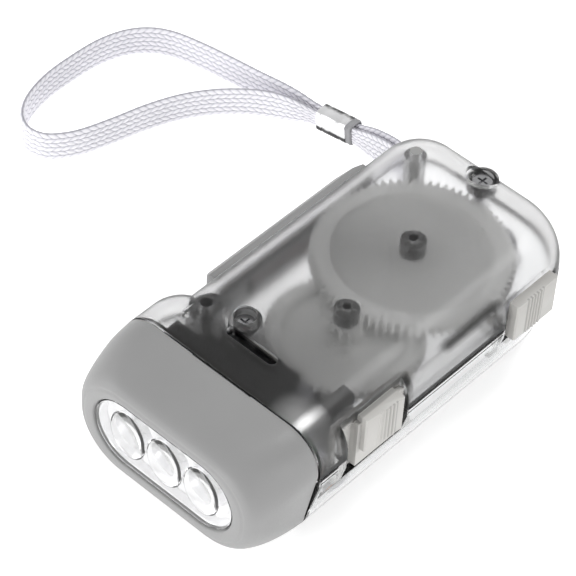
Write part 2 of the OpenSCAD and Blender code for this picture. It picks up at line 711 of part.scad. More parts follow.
module lock_slide() {
    color([0.8, 0.79, 0.76])
        union() {
            intersection() {
                translate([0, 0, lock_z0])
                    linear_extrude(lock_z1 - lock_z0)
                        polygon(ridged_pts(lock_pocket_x + slide_gap,
                                           right_x + lock_proud, right_x + lock_proud,
                                           lock_y0, lock_y1, lock_y0 + 3.6, 5, 0.9, 0.2));
                translate([right_x - tail_r_switch, tail_y - tail_r_switch, lock_z0 - 1])
                    union() {
                        cylinder(h = 12, r = tail_r_switch + lock_proud + 0.25);
                        translate([0, -body_l / 2, 0])
                            cube([body_w, body_l / 2, 12]);
                    }
            }
            box(lock_plate_x1 - 0.1, lock_pocket_x + 0.5, lock_neck_y0, lock_neck_y1,
                lock_neck_z0, part_z - slide_gap);
            box(lock_plate_x1 - 1.2, lock_plate_x1, lock_neck_y0, lock_neck_y1, blade_z0, part_z - slide_gap);
            box(finger_x0, lock_plate_x1, blade_y0, blade_y1, blade_z0, blade_z1);
            box(finger_x0, finger_x1, hook_y1 + 0.4, blade_y1, blade_z0, blade_z1);
        }
}

module squeeze_lever() {
    xi = left_x + grip_t;
    x_low = left_x + side_draft * (draft_z1 - grip_z0) / (draft_z1 - draft_z0);
    a_mid = pivot_dir - 180;
    color([0.56, 0.56, 0.56])
        difference() {
            union() {
                intersection() {
                    along_y(grip_y0, grip_y1)
                        polygon([[xi, grip_z0], [x_low + 0.8, grip_z0], [x_low - 0.16, grip_z0 + 0.8],
                                 [left_x, draft_z1], [left_x, grip_z1 - 1.2], [left_x + 1.2, grip_z1],
                                 [xi, grip_z1]]);
                    linear_extrude(body_h)
                        polygon([[xi, grip_y0], [left_x + 0.6, grip_y0], [left_x, grip_y0 + 0.8],
                                 [left_x, grip_y1 - 6], [left_x + 1.8, grip_y1], [xi, grip_y1]]);
                }
                rod(pivot_c, hub_z0, hub_z1, hub_d / 2);
                translate([0, 0, sector_z0])
                    linear_extrude(sector_z1 - sector_z0)
                        polygon([pivot_c + [-2.5, -2.6], [xi - 0.6, grip_y0], [xi - 0.6, arm_y1],
                                 pivot_c + [0, 3]]);
                at(pivot_c, sector_z0)
                    linear_extrude(sector_z1 - sector_z0)
                        union() {
                            polygon(concat(
                                [[0, 0]],
                                arc_pts(0, 0, sector_r - 2.6, a_mid - 17.6, a_mid - 1.6, 4)));
                            polygon(concat(
                                teeth_pts(sector_m, sector_teeth, a_mid, -7, 1, backlash,
                                          0.9 * sector_m, 1.25 * sector_m),
                                flip(arc_pts(0, 0, sector_r - 3.8, a_mid - 7.4 * 360 / sector_teeth,
                                             a_mid + 1.4 * 360 / sector_teeth, 12))));
                        }
                box(xi - 0.1, hook_x1, hook_y0, hook_y1, grip_z0, tab_z1);
                box(hook_x0, hook_x1, hook_y0, hook_y1, grip_z0, blade_z1);
            }
            rod(pivot_c, hub_z0 - 1, hub_z1 + 1, pivot_d / 2 + run_gap);
        }
}

module lever_pivot_pin() {
    color([0.75, 0.75, 0.77])
        rod(pivot_c, wall, body_h - 1.2, pivot_d / 2);
}

module drive_gear() {
    color([0.88, 0.88, 0.86])
        at(drive_c, 0)
            difference() {
                union() {
                    translate([0, 0, drive_z0])
                        linear_extrude(drive_t)
                            gear_2d(gear_m, drive_teeth, step_dir);
                    translate([0, 0, pinion_z0])
                        linear_extrude(drive_z0 - pinion_z0 + 0.5)
                            gear_2d(sector_m, sector_pinion_teeth, pivot_dir + 180 / sector_pinion_teeth);
                }
                ring([0, 0], drive_z1 - 0.7, drive_z1 + 1, 4.6, drive_teeth * gear_m / 2 - 3.6);
                rod([0, 0], pinion_z0 - 1, drive_z1 + 1, drive_axle_d / 2 + run_gap);
            }
}

module drive_axle() {
    color([0.75, 0.75, 0.77])
        rod(drive_c, wall, body_h - 0.8, drive_axle_d / 2);
}

module step_gear() {
    color([0.88, 0.88, 0.86])
        at(step_c, 0)
            difference() {
                union() {
                    translate([0, 0, step_z0])
                        linear_extrude(step_t)
                            gear_2d(gear_m, step_teeth, rotor_dir);
                    translate([0, 0, step_z1 - 0.5])
                        linear_extrude(step_pinion_z1 - step_z1 + 0.5)
                            gear_2d(gear_m, step_pinion_teeth, step_dir + 180 + 180 / step_pinion_teeth);
                }
                ring([0, 0], step_z1 - 0.6, step_z1, 4.4, step_teeth * gear_m / 2 - 3);
                rod([0, 0], step_z0 - 1, step_pinion_z1 + 1, step_axle_d / 2 + run_gap);
            }
}

module step_axle() {
    color([0.75, 0.75, 0.77])
        rod(step_c, wall, body_h - 0.8, step_axle_d / 2);
}

module clutch_pinion() {
    color([0.9, 0.9, 0.88])
        at(rotor_c, 0)
            difference() {
                union() {
                    translate([0, 0, step_z0 - 0.4])
                        linear_extrude(step_t + 0.8)
                            gear_2d(gear_m, clutch_teeth, rotor_dir + 180 + 180 / clutch_teeth);
                    rod([0, 0], flywheel_z1 - 1, step_z0 - 0.3, 2.3);
                    translate([0, 0, flywheel_z1 - 1.3])
                        linear_extrude(1.1)
                            polygon([for (k = [0:7], s = [[recess_r - 2.7, 0], [recess_r - 1.8, 4]])
                                s[0] * [cos(45 * k + s[1]), sin(45 * k + s[1])]]);
                }
                rod([0, 0], 0, body_h, rotor_axle_d / 2 + run_gap);
            }
}

module clutch_pawls() {
    color([0.7, 0.7, 0.72])
        for (k = [0:2])
            at(rotor_c, flywheel_z1 - 1.5)
                rotate([0, 0, 120 * k])
                    linear_extrude(1.1)
                        polygon(concat(arc_pts(0, 0, recess_r - 1.4, 0, 60, 6),
                                       arc_pts(0, 0, recess_r - 0.5, 60, 0, 6)));
}

module flywheel() {
    color([0.6, 0.6, 0.62])
        at(rotor_c, 0)
            difference() {
                rod([0, 0], flywheel_z0, flywheel_z1, flywheel_d / 2);
                rod([0, 0], flywheel_z1 - 1.5, flywheel_z1 + 1, recess_r);
                rod([0, 0], 0, body_h, rotor_axle_d / 2 + run_gap);
            }
}

module magnet_ring() {
    color([0.18, 0.18, 0.18])
        ring(rotor_c, magnet_z0, magnet_z1, 4.2, magnet_d / 2);
}

module rotor_axle() {
    color([0.75, 0.75, 0.77])
        rod(rotor_c, 0.8, step_z1 + 1.2, rotor_axle_d / 2);
}

module stator_core() {
    color([0.55, 0.56, 0.6])
        at(rotor_c, 0)
            difference() {
                union() {
                    rod([0, 0], stator_z0, stator_z1, claw_r1 + 0.2);
                    rod([0, 0], stator_z1 - 0.1, bobbin_z1, 2.4);
                    for (k = [0:5])
                        rotate([0, 0, 60 * k])
                            translate([0, 0, stator_z1 - 0.1])
                                linear_extrude(magnet_z1 - 0.4 - stator_z1)
                                    polygon(concat(arc_pts(0, 0, claw_r1, -13, 13, 4),
                                                   arc_pts(0, 0, claw_r0, 13, -13, 4)));
                }
                rod([0, 0], 0, body_h, rotor_axle_d / 2 + 0.02);
            }
}

module coil_bobbin() {
    color([0.92, 0.92, 0.88])
        union() {
            ring(rotor_c, stator_z1, stator_z1 + 0.6, 2.45, claw_r0 - 0.5);
            ring(rotor_c, stator_z1 + 0.5, bobbin_z1 - 0.5, 2.45, 3.1);
            ring(rotor_c, bobbin_z1 - 0.6, bobbin_z1, 2.45, claw_r0 - 0.5);
        }
}

module coil_winding() {
    color([0.72, 0.4, 0.18])
        ring(rotor_c, stator_z1 + 0.65, bobbin_z1 - 0.65, 3.15, claw_r0 - 0.9);
}

module button_cells() {
    color([0.78, 0.78, 0.8])
        for (k = [0:cell_count - 1])
            rod(cell_c, cell_z0 + k * cell_h, cell_z0 + (k + 1) * cell_h - 0.05, cell_d / 2);
}

module cell_contacts() {
    color([0.8, 0.76, 0.55])
        union() {
            rod(cell_c, floor_z, cell_z0 - 0.05, cell_d / 2 - 1.9);
            rod(cell_c, cell_z1, cell_z1 + 0.4, cell_d / 2 - 1.6);
            box(flange_x0, flange_x0 + 0.4, win_y1 + power_travel + 2.4, drive_c[1],
                part_z - 1.6, drive_z0 - 0.5);
            box(flange_x0, right_x - wall - 0.1, drive_c[1] - 1.6, drive_c[1] - 0.8,
                part_z - 1.6, part_z - 0.4);
        }
}

// A tube with eight sides swept along points [x, y, z, height], t thick sideways
function unit(v) = v / norm(v);
function xyz(p) = [p[0], p[1], p[2]];
function tangent(pts, i) = unit(xyz(pts[min(i + 1, len(pts) - 1)]) - xyz(pts[max(i - 1, 0)]));
function tube_ring(pts, i, t, o) =
    let (d = tangent(pts, i), n = unit([-d[1], d[0], 0]), b = cross(d, n), h = pts[i][3] / 2,
         c = min(t, 2 * h) * 0.29)
    [for (s = [[1, -1, 0], [1, 1, 0], [1, 1, 1], [-1, 1, 1],
               [-1, 1, 0], [-1, -1, 0], [-1, -1, 1], [1, -1, 1]])
        xyz(pts[i]) + n * (o + s[0] * (t / 2 - s[2] * c)) + b * s[1] * (h - (1 - s[2]) * c)];

module swept_tube(pts, t, o = 0) {
    n = len(pts);
    polyhedron(
        points = [for (i = [0:n - 1], p = tube_ring(pts, i, t, o)) p],
        faces = concat(
            [[0, 1, 2, 3, 4, 5, 6, 7]],
            [for (i = [0:n - 2], k = [0:7], h = [0, 1])
                let (a = 8 * i + k, b = 8 * i + (k + 1) % 8)
                h == 0 ? [b + 8, b, a] : [a + 8, b + 8, a]],
            [[for (k = [7:-1:0]) 8 * (n - 1) + k]]));
}

module lever_spring() {
    turns = 4;
    steps = 12;
    rise = (hub_z0 - spring_z0 - spring_wire - 0.4) / turns / steps;
    coil = [for (i = [0:turns * steps]) let (a = 250 + i * 360 / steps)
        [pivot_c[0] + spring_r * cos(a), pivot_c[1] + spring_r * sin(a),
         spring_z0 + spring_wire / 2 + 0.1 + i * rise, spring_wire]];
    color([0.7, 0.7, 0.72])
        swept_tube(coil, spring_wire);
}

module lead_wires() {
    w = 1.1;
    z = floor_z + 0.7;
    z_spigot = spigot_e + spigot_t + w / 2 + 0.4;
    front = board_y1 + 0.1;
    coil_y = rotor_c[1] - claw_r0 + 0.8;
    x = (screw_front[0] + screw_core_r + rotor_c[0] - claw_r1 - 0.2) / 2;
    color([0.75, 0.15, 0.12])
        for (s = [-0.8, 0.8]) {
            swept_tube([[rotor_c[0], coil_y, z + 2.2, w], [rotor_c[0], coil_y - 2.4, z + 2.4, w],
                        [rotor_c[0] - 0.6, coil_y - 4, z + 2.8, w], [rotor_c[0] - 1, front + 1, z + 3.6, w],
                        [rotor_c[0] - 1, front, z + 3.8, w]], w, s);
            swept_tube([[cell_c[0] - cell_ring_r - 2, cell_c[1] - 1, z, w],
                        [cell_c[0] - cell_ring_r - 4, cell_c[1] - 3.4, z, w],
                        [blade_posts[0] + 5, blade_y0, z, w], [blade_posts[0] + 2.6, drive_c[1], z, w],
                        [x - 3, step_c[1] + 8, z, w], [x - 2, step_c[1] - 6, z, w],
                        [x, screw_front[1] - 2, z, w], [x, step_y + 4, z + 0.2, w],
                        [x, step_y + 1.4, z_spigot, w], [x, front + 1, z_spigot, w],
                        [x, front, z_spigot, w]], w, s);
        }
}

module screw(c, seat) {
    at(c, seat)
        difference() {
            union() {
                cylinder(h = 1.3, r = screw_bore_r - 0.3);
                translate([0, 0, -14])
                    cylinder(h = 14.5, r = screw_d / 2);
            }
            for (a = [0, 90])
                rotate([0, 0, a])
                    translate([-1.2, -0.22, 0.6])
                        cube([2.4, 0.44, 1]);
        }
}

module shell_screws() {
    color([0.8, 0.8, 0.82]) {
        screw(screw_front, screw_seat_front);
        screw(screw_rear, screw_seat_rear);
    }
}

module strap_pin() {
    color([0.7, 0.7, 0.72])
        rod(strap_pin_c, wall + 0.6, body_h - 0.1, strap_pin_d / 2);
}

module strap_ferrule() {
    w = 2 * strap_t + 0.9;
    color([0.85, 0.85, 0.87])
        translate([-44, 47.98, 4.8])
            rotate([0, -7, 3])
                rotate([0, 90, 0])
                    translate([0, 0, -ferrule_l / 2])
                        linear_extrude(ferrule_l)
                            difference() {
                                square([ferrule_h, w + 0.8], center = true);
                                square([ferrule_h - 0.8, w], center = true);
                            }
}

module wrist_strap() {
    color([0.9, 0.89, 0.93])
        swept_tube(strap_pts, strap_t);
}

bottom_shell();
top_shell();
head_bezel();
lens();
reflector();
leds();
circuit_board();
board_cover();
diodes();
slide_switch();
switch_stem();
power_switch();
lock_slide();
squeeze_lever();
lever_pivot_pin();
lever_spring();
drive_gear();
drive_axle();
step_gear();
step_axle();
clutch_pinion();
clutch_pawls();
flywheel();
magnet_ring();
rotor_axle();
stator_core();
coil_bobbin();
coil_winding();
button_cells();
cell_contacts();
lead_wires();
shell_screws();
strap_pin();
strap_ferrule();
wrist_strap();
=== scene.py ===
"""Squeeze-lever dynamo flashlight: CAD solids dressed and lit, with a finer strap, head and lens."""
import math

import bmesh
import bpy
from mathutils import Matrix, Vector
from mathutils.geometry import delaunay_2d_cdt


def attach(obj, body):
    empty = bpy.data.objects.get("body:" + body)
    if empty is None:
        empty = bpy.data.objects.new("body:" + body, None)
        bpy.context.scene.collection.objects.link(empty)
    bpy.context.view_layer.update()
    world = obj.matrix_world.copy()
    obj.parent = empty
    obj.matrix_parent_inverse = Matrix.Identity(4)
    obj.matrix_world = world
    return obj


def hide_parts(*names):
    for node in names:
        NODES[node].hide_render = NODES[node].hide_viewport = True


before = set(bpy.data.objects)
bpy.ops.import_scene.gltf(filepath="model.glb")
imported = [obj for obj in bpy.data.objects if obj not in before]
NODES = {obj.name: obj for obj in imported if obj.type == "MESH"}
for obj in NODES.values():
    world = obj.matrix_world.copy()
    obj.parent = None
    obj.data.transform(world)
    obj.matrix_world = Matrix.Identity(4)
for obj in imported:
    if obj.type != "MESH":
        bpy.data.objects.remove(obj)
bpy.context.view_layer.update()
MM = 0.001
HALF_W, TAIL, H = 24.5, 45, 27.0  # body: half width, rear end and height, in millimetres
SHARP = 32  # edges with more than this many degrees stay sharp
S = bpy.context.scene
S.view_settings.view_transform = "Standard"

# ---- camera, at the photograph's angle ----
AZ, EL, ROLL = (math.radians(a) for a in (39.8, 47.0, 4.0))
back = Vector((math.sin(AZ) * math.cos(EL), -math.cos(AZ) * math.cos(EL), math.sin(EL)))
right = Vector((math.cos(AZ), math.sin(AZ), 0))
up = back.cross(right)
r1 = right * math.cos(ROLL) + up * math.sin(ROLL)
u1 = up * math.cos(ROLL) - right * math.sin(ROLL)
cam = bpy.data.objects.new("camera", bpy.data.cameras.new("camera"))
S.collection.objects.link(cam)
cam.data.lens, cam.data.sensor_width = 180.5, 36
cam.data.clip_start, cam.data.clip_end = 0.05, 20
place = Matrix((r1, u1, back)).transposed().to_4x4()
AIM, REACH = Vector((-13.8, -0.2, 14)), 0.557  # point looked at, in millimetres, and distance in metres
place.translation = AIM * MM + back * REACH
cam.matrix_world = place
S.camera = cam


# ---- mesh helpers ----
def piece(name, verts, faces, body, slot, *nodes, sharp=SHARP):
    """A mesh piece in millimetres that rides on a body and stands for CAD nodes."""
    me = bpy.data.meshes.new(name)
    me.from_pydata([Vector(v) * MM for v in verts], [], faces)
    me.validate()
    bm = bmesh.new()
    bm.from_mesh(me)
    bmesh.ops.remove_doubles(bm, verts=bm.verts, dist=1e-7)
    bmesh.ops.recalc_face_normals(bm, faces=bm.faces)
    bm.to_mesh(me)
    bm.free()
    me.shade_smooth()
    me.set_sharp_from_angle(angle=math.radians(sharp))
    o = bpy.data.objects.new(name, me)
    S.collection.objects.link(o)
    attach(o, body)
    if nodes:
        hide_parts(*nodes)
    return o


def loops(rings, closed_tube=False, caps=True):
    """Vertices and faces of a skin over closed rings of equal length."""
    n, m = len(rings[0]), len(rings)
    verts = [v for r in rings for v in r]
    faces = []
    for i in range(m if closed_tube else m - 1):
        j = (i + 1) % m
        for k in range(n):
            q = (k + 1) % n
            faces.append((i * n + k, i * n + q, j * n + q, j * n + k))
    if caps and not closed_tube:
        faces.append(tuple(range(n))[::-1])
        faces.append(tuple((m - 1) * n + k for k in range(n)))
    return verts, faces


def join(parts):
    """One list of vertices and one of faces from several pairs."""
    verts, faces = [], []
    for v, f in parts:
        faces += [tuple(i + len(verts) for i in q) for q in f]
        verts += v
    return verts, faces


def spline(p, n):
    """Catmull-Rom through rows of numbers, n steps per span."""
    out = []
    for i in range(len(p) - 1):
        a, b, c, d = p[max(i - 1, 0)], p[i], p[i + 1], p[min(i + 2, len(p) - 1)]
        for s in range(n):
            t = s / n
            out.append([0.5 * (2 * q + (r - o) * t + (2 * o - 5 * q + 4 * r - w) * t * t
                               + (3 * q - o - 3 * r + w) * t ** 3)
                        for o, q, r, w in zip(a, b, c, d)])
    return out + [list(p[-1])]


# ---- wrist strap ----
STRAP = [  # x, y, z, width in millimetres
    (-12.4, 33.5, 11.6, 7.2), (-11.2, 34.8, 11.6, 7.2), (-11.6, 36.7, 11.6, 7.2), (-13.4, 38.6, 11.6, 7.2),
    (-15.5, 40.6, 11.5, 7.2), (-18, 43.1, 11, 7.2), (-22.2, 45.7, 9.9, 7.2), (-27.6, 47.5, 8.4, 6.9),
    (-33, 48.4, 6.9, 6.2), (-38, 48.9, 5.7, 4), (-42, 49, 5, 3.7), (-46, 48.7, 4.5, 3.7),
    (-50, 48.2, 4.3, 4.2), (-54, 47.6, 4.1, 6.2), (-58, 47, 3.9, 7.2), (-64, 46.2, 3.7, 7.2),
    (-71, 45.2, 3.7, 7.2), (-78.4, 44, 3.7, 7.2), (-85.4, 42.2, 3.7, 7.2), (-90, 39.4, 3.7, 7.2),
    (-93.2, 35, 3.7, 7.2), (-95, 28.8, 3.7, 7.2), (-95.4, 21, 3.7, 7.2), (-95, 13.4, 3.7, 7.2),
    (-93.2, 6.6, 3.7, 7.2), (-90.2, 2, 3.7, 7.2), (-86.4, 0, 3.7, 7.2), (-82.6, 0.8, 3.7, 7.2),
    (-79.8, 3.8, 3.7, 7.2), (-77.8, 7.8, 3.7, 7.2), (-75.8, 14.4, 3.7, 7.2), (-73.8, 22, 3.7, 7.2),
    (-71, 29.2, 3.7, 7.2), (-67.2, 35.2, 3.7, 7.2), (-62.4, 40.2, 3.8, 7.2), (-58, 43.2, 3.9, 7.2),
    (-54, 45, 4.1, 6.2), (-50, 46.3, 4.3, 4.2), (-46, 47, 4.5, 3.7), (-42, 47.3, 5, 3.7),
    (-38, 47.1, 5.7, 4), (-33, 46.5, 6.9, 6.2), (-27.8, 45.6, 8.4, 6.9), (-23, 43.9, 9.9, 7.2),
    (-19.6, 41.4, 11, 7.2), (-17.2, 38.6, 11.5, 7.2), (-15.6, 36.2, 11.6, 7.2), (-15.2, 34.4, 11.6, 7.2),
    (-13.9, 33.2, 11.6, 7.2)]
STRAP_T, RELIEF = 1.3, 0.32  # thickness of the band, and depth of its weave
COLS, STITCH, STEP = 6, 1.7, 0.26  # rows of stitches, length of a stitch, spacing of the rings
LEAN, FLAT = 0.34 * 2.2, 0.35  # slant of a stitch over its row, and share of the thickness left at the edges
LINE_EVERY = 4  # rings between two points of the cord's own line


def strap():
    """The woven band on edge along STRAP, its middle line in metres and that line's length."""
    raw = spline(STRAP, 24)
    # even steps along the band
    path, rest = [raw[0]], 0.0
    for a, b in zip(raw, raw[1:]):
        d = (Vector(b[:3]) - Vector(a[:3])).length
        t = STEP - rest
        while t <= d:
            f = t / d
            path.append([p + (q - p) * f for p, q in zip(a, b)])
            t += STEP
        rest = (rest + d) % STEP
    rings, tone = [], []
    n = len(path)
    across = 6 * COLS
    for i, p in enumerate(path):
        a, b = path[max(i - 2, 0)], path[min(i + 2, n - 1)]
        d = (Vector(b[:3]) - Vector(a[:3])).normalized()
        side = Vector((-d.y, d.x, 0)).normalized()
        rise = d.cross(side)
        h, s = p[3], i * STEP
        ring = []
        for face in (1, -1):
            for k in range(across + 1):
                v = k / across
                c = min(COLS - 1, int(v * COLS))
                w = v * COLS - c - 0.5
                # every second row leans the other way and starts half a stitch later
                lean = LEAN if c % 2 else -LEAN
                stitch = abs(math.sin(math.pi * (s / STITCH + lean * w + 0.5 * (c % 2)))) ** 0.7
                col = math.cos(math.pi * w) ** 0.5 if abs(w) < 0.499 else 0
                edge = math.sqrt(max(0.0, 1 - abs(2 * v - 1) ** 5))
                off = (STRAP_T / 2 - RELIEF + RELIEF * stitch * col) * (FLAT + (1 - FLAT) * edge)
                # the weave's height, which also sets the painted shade in the gaps between stitches
                tone.append(stitch * col)
                z = (v - 0.5) * h * face
                ring.append(Vector(p[:3]) + side * off * face + rise * z)
        rings.append(ring)
    verts, faces = loops(rings)
    o = piece("strap_band", verts, faces, "body", "wrist_strap", "wrist_strap", sharp=75)
    shade = o.data.attributes.new("stitch", "FLOAT", "POINT")
    shade.data.foreach_set("value", tone)
    line = [tuple(x * MM for x in p[:3]) for p in path[::LINE_EVERY]]
    total = sum((Vector(a) - Vector(b)).length for a, b in zip(line, line[1:]))
    return o, line, total


# ---- crimped ferrule on the strap ----
FERRULE = Matrix.Translation((-44, 47.98, 4.8)) @ Matrix.Rotation(math.radians(3), 4, "Z") \
    @ Matrix.Rotation(math.radians(-7), 4, "Y")
BORE, TALLER = 3.5, 0.9  # width of the bore, and how much taller than wide each section is


def oval(x, w, h, r, n=6):
    """Rounded rectangle across the strap at x along the ferrule."""
    out = []
    for cy, cz, a0 in ((1, 1, 0), (-1, 1, 90), (-1, -1, 180), (1, -1, 270)):
        for k in range(n + 1):
            a = math.radians(a0 + 90 * k / n)
            y, z = cy * (w / 2 - r) + r * math.cos(a), cz * (h / 2 - r) + r * math.sin(a)
            out.append(FERRULE @ Vector((x, y, z)))
    return out


def sleeve(profile, r):
    """Closed tube on the strap: rows of place along it and width, then the bore back to the start."""
    rings = [oval(x, w, w + TALLER, r) for x, w in profile]
    rings += [oval(x, BORE, BORE + TALLER, 0.8) for x in (profile[-1][0], profile[0][0])]
    return loops(rings, closed_tube=True)


def ferrule():
    """Bright ferrule with a groove near each end; its attribute "tall" runs from its lower edge up and
    places the painted dark reflections along its edges.
    """
    half = [(1.9, 4.3), (2.3, 4.1), (2.7, 4.3), (3.75, 4.3), (3.9, 4.0)]
    v, f = sleeve([(-x, w) for x, w in half[::-1]] + half, 1.2)
    o = piece("ferrule_tube", v, f, "body", "strap_ferrule", "strap_ferrule", sharp=40)
    back = FERRULE.inverted()
    tall = o.data.attributes.new("tall", "FLOAT", "POINT")
    width, height = 4.3, 4.3 + TALLER
    tones = []
    for p in o.data.vertices:
        q = back @ (p.co / MM)
        over = max(0.0, q.y + width / 2) / (2 * width) if q.z > 2 else 0.0
        tones.append((q.z / height + 0.5 + over) / 1.5)
    tall.data.foreach_set("value", tones)
    return o


def collar():
    """Dark binding at the end of the ferrule towards the body."""
    v, f = sleeve([(3.95, 3.9), (4.1, 4.2), (4.5, 4.0), (4.8, 4.2), (5.2, 4.1), (5.4, 3.7)], 1.1)
    return piece("strap_collar", v, f, "body", "strap_ferrule", sharp=40)


band, line, total = strap()
ferrule_o, collar_o = ferrule(), collar()

# ---- head: one smooth loft through the rim, the flare and the seam ----
FRONT, SEAM, LIP = -49.2, -33.5, -46.95  # rim, joint with the shells, and floor of the lens opening
BODY_RT, BODY_RB, BODY_DRAFT = 8, 5.5, 2.4  # upper and lower corner radius and side draft of the body
LENS_Z, SKIN = 14.2, 1.8  # middle height of the lens, wall of the head
TOP_STEPS = (0, 0.21, 0.425, 0.445, 0.72)  # places along half of the top, two of them close for the notch
NOTCH, NOTCH_DEEP = 7.1, 0.6  # half width and depth of the notch in the head's rear edge


def rounded(y, w, z0, z1, rt, rb, draft=0.0, n=14, m=5):
    """A closed outline across the head, from the middle of the top, both sides alike."""
    half = [((w - rt) * t, z1) for t in TOP_STEPS]
    half += [(w - rt + rt * math.sin(a), z1 - rt + rt * math.cos(a))
             for a in (math.pi / 2 * i / n for i in range(n + 1))]
    zb = z0 + rb
    top = half[-1]
    half += [(w - draft * i / m, top[1] + (zb - top[1]) * i / m) for i in range(1, m)]
    half += [(w - draft - rb + rb * math.cos(a), zb - rb * math.sin(a))
             for a in (math.pi / 2 * i / n for i in range(n + 1))]
    x = half[-1][0]
    half += [(x * (1 - i / m), z0) for i in range(1, m + 1)]
    left = [(-a, b) for a, b in half[1:-1]][::-1]
    return [(a, y, b) for a, b in half + left]


# distance from the rim, side inset, bottom, top inset, upper radius, lower radius, draft
HEAD = [(0, 4.5, 4.2, 3.4, 9, 9.4, 0), (0.5, 3.5, 3.2, 2.4, 9.6, 10, 0), (1.4, 2.6, 2.4, 1.7, 10, 10.5, 0),
        (3, 1.9, 1.8, 1.1, 10, 10.5, 0), (6.2, 1.1, 1.1, 0.5, 9.4, 10, 0.2),
        (11, 0.3, 0.4, 0.1, 8.4, 8, 1.3),
        (15.7, 0, 0, 0, BODY_RT, BODY_RB, BODY_DRAFT)]


def pill(y, w, r):
    """Outline with round ends about the middle of the lens."""
    return rounded(y, w, LENS_Z - r, LENS_Z + r, r - 0.01, r - 0.01)


def head():
    """Satin head as one closed loft: opening, rim, flare, notched rear edge and back inside."""
    def ring(s, e, y):
        return rounded(y, HALF_W - s[1] - e, s[2] + e, H - s[3] - e, s[4] - e, s[5] - e, s[6])

    def notched(points):
        return [(x, y - NOTCH_DEEP if abs(x) < NOTCH and z > H - 3 else y, z) for x, y, z in points]

    outer = spline(HEAD, 5)
    inner_row = 13  # row of the flare where the inside meets the floor of the opening
    mouth = ((LIP, 0), (FRONT + 0.45, 0), (FRONT + 0.2, 0.06), (FRONT + 0.05, 0.2), (FRONT, 0.4))
    rings = [pill(y, 17.6 + e, 8.2 + e) for y, e in mouth]
    rings += [ring(outer[0], 0.45, FRONT), ring(outer[0], 0.12, FRONT + 0.08)]
    rings += [ring(s, 0, FRONT + max(s[0], 0.25)) for s in outer[1:-1]]
    rings += [notched(ring(outer[-1], e, SEAM - gap)) for e, gap in ((0, 0.55), (0.15, 0.35), (SKIN, 0.35))]
    rings += [ring(s, SKIN, FRONT + s[0]) for s in outer[-2:inner_row:-3]]
    rings += [ring(outer[inner_row], SKIN, LIP)]
    v, f = loops(rings, closed_tube=True)
    return piece("head_shell", v, f, "body", "head_bezel", "head_bezel", sharp=48)


head_o = head()


def section(y, e):
    """Outline of the body across its long part, at inset e."""
    return rounded(y, HALF_W - e, e, H - e, BODY_RT - e, BODY_RB - e, BODY_DRAFT)


def seam_shadow():
    """Black ring in the gap between head and shells: a dark piece for the shadow in the gap."""
    rings = [section(SEAM - y, e) for y, e in ((0.34, SKIN), (0.34, 0.55), (0.02, 0.55), (0.02, SKIN))]
    v, f = loops(rings, closed_tube=True)
    return piece("seam_shadow", v, f, "body", "head_bezel")


def block(x0, x1, y0, y1, z0, z1, bevel=0.0):
    """Vertices and faces of a box whose upright and upper edges are cut by a bevel."""
    rings = []
    for z, e in ((z0, bevel), (z0 + bevel, 0), (z1 - bevel, 0), (z1, bevel)):
        a, b, c, d, k = x0 + e, x1 - e, y0 + e, y1 - e, bevel
        rings.append([(a + k, c, z), (b - k, c, z), (b, c + k, z), (b, d - k, z),
                      (b - k, d, z), (a + k, d, z), (a, d - k, z), (a, c + k, z)])
    return loops(rings)


def snap_tab():
    """Tongue of the lid in the notch of the head."""
    v, f = block(-6.9, 6.9, SEAM - 0.86, SEAM - 0.4, H - 1.2, H - 0.03, 0.08)
    return piece("snap_tab", v, f, "body", "top_shell")


def parting_line():
    """Dark line where the shells meet and a fainter one under it, past the switches and round the tail."""
    x, r, deep = HALF_W, 15.5, 0.12
    arc = [(x - r + r * math.cos(a), TAIL - r + r * math.sin(a), math.cos(a), math.sin(a))
           for a in (math.radians(d) for d in range(24, 91, 3))]
    runs = ([(x, -33.1, 1, 0), (x, -28.4, 1, 0)], [(x, -8.9, 1, 0), (x, 18.5, 1, 0)],
            arc + [(-9.5, TAIL, 0, 1)])
    parts = []
    for z, half, proud in ((17.05, 0.3, 0.07), (15.9, 0.07, 0.03)):
        for run in runs:
            corners = ((-deep, -half), (proud, -half), (proud, half), (-deep, half))
            parts.append(loops([[(px + nx * o, py + ny * o, z + h) for o, h in corners]
                                for px, py, nx, ny in run]))
    v, f = join(parts)
    return piece("parting_line", v, f, "body", "bottom_shell")


def shade_flap():
    """Dark flap behind the circuit board, low under the slot: a black piece put there for painted shade
    under the lid.
    """
    z0, z1, bevel = 19.4, 21, 0.5
    v, f = join([block(-12.4, -3.8, -28, -23.8, z0, z1, bevel),
                 block(-3.9, 7.4, -28, -19.6, z0, z1, bevel)])
    return piece("shade_flap", v, f, "body", "board_cover")


# ---- lens: thin flush window with three shallow domes behind it ----
LENS_Y0, LENS_BACK, PITCH = -48.85, -47.7, 9.3
DOME_A, DOME_B, DOME_SAG, GROOVE = 4.2, 5.5, 0.75, 0.16  # a dome's half axes and height, its groove's depth
GROOVE_AT, GROOVE_HALF = 1.035, 0.035  # middle and half width of the groove, as shares of the dome
DOME_RINGS = ((1.07, 80), (1.035, 80), (1, 80), (0.86, 60), (0.7, 48), (0.5, 36), (0.3, 24), (0.12, 10))


def dome_share(q):
    """Distance from the nearest dome's middle as a share of its edge."""
    return min(math.hypot((q[0] - c) / DOME_A, (q[1] - LENS_Z) / DOME_B) for c in (-PITCH, 0, PITCH))


